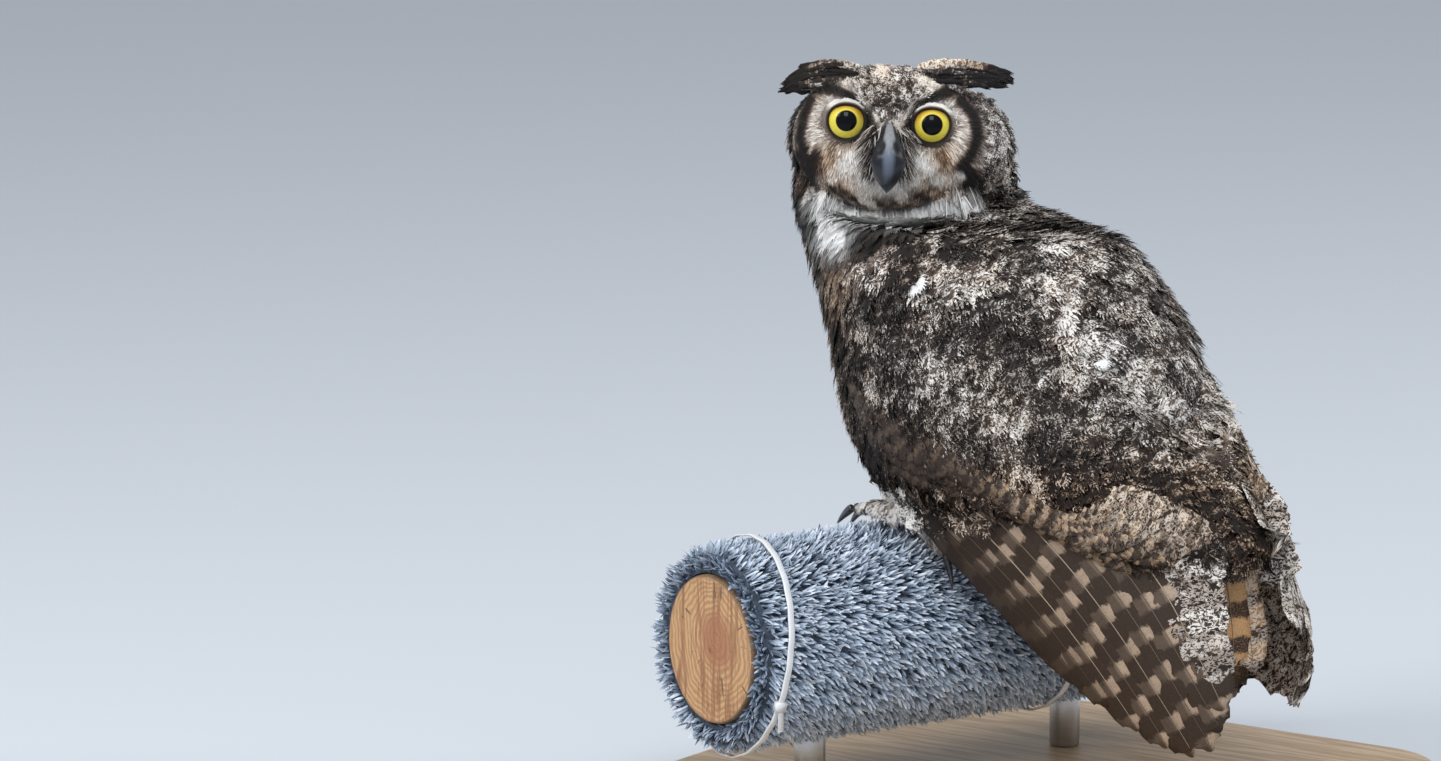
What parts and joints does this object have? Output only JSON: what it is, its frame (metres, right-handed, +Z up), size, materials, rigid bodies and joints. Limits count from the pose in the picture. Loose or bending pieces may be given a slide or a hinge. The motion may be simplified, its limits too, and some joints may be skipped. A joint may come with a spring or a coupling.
{
  "type": "great horned owl on a turf-wrapped perch log",
  "caption": "Life-size still model of a great horned owl, head turned over its left shoulder, gripping a short turf-wrapped log held on rods over a flat base.",
  "frame": {"origin": "middle of the underside of the display base", "axes": "+Z up; the owl's body faces -X, its left side is towards -Y, and its tail points to +X"},
  "size_m": [0.462, 0.484, 0.5272],
  "materials": {
    "plumage": "soft matt feathers",
    "pale_plumage": "soft matt feathers",
    "flight_feather": "satin vanes",
    "horn": "polished horn",
    "iris": "wet gloss",
    "turf": "matt bladed turf",
    "pine": "sawn end grain",
    "oak": "satin varnish",
    "steel": "brushed",
    "nylon": "smooth"
  },
  "bodies": {
    "root": {"stand_base": "oak", "stand_rod_1": "steel", "stand_rod_2": "steel", "perch_log": "pine", "perch_turf": "turf", "perch_tie_1": "nylon", "perch_tie_2": "nylon", "head": "plumage", "eye_left": "iris", "eye_right": "iris", "bill_upper": "horn", "bill_lower": "horn", "ear_tuft_left": "plumage", "ear_tuft_right": "plumage", "neck": "pale_plumage", "trunk": "plumage", "wing_left": "plumage", "wing_right": "plumage", "wing_left_flight": "flight_feather", "wing_right_flight": "flight_feather", "tail": "flight_feather", "leg_left": "pale_plumage", "leg_right": "pale_plumage", "foot_left": "pale_plumage", "foot_right": "pale_plumage", "talon_left_1": "horn", "talon_left_2": "horn", "talon_left_3": "horn", "talon_left_4": "horn", "talon_right_1": "horn", "talon_right_2": "horn", "talon_right_3": "horn", "talon_right_4": "horn"}
  },
  "joints": []
}
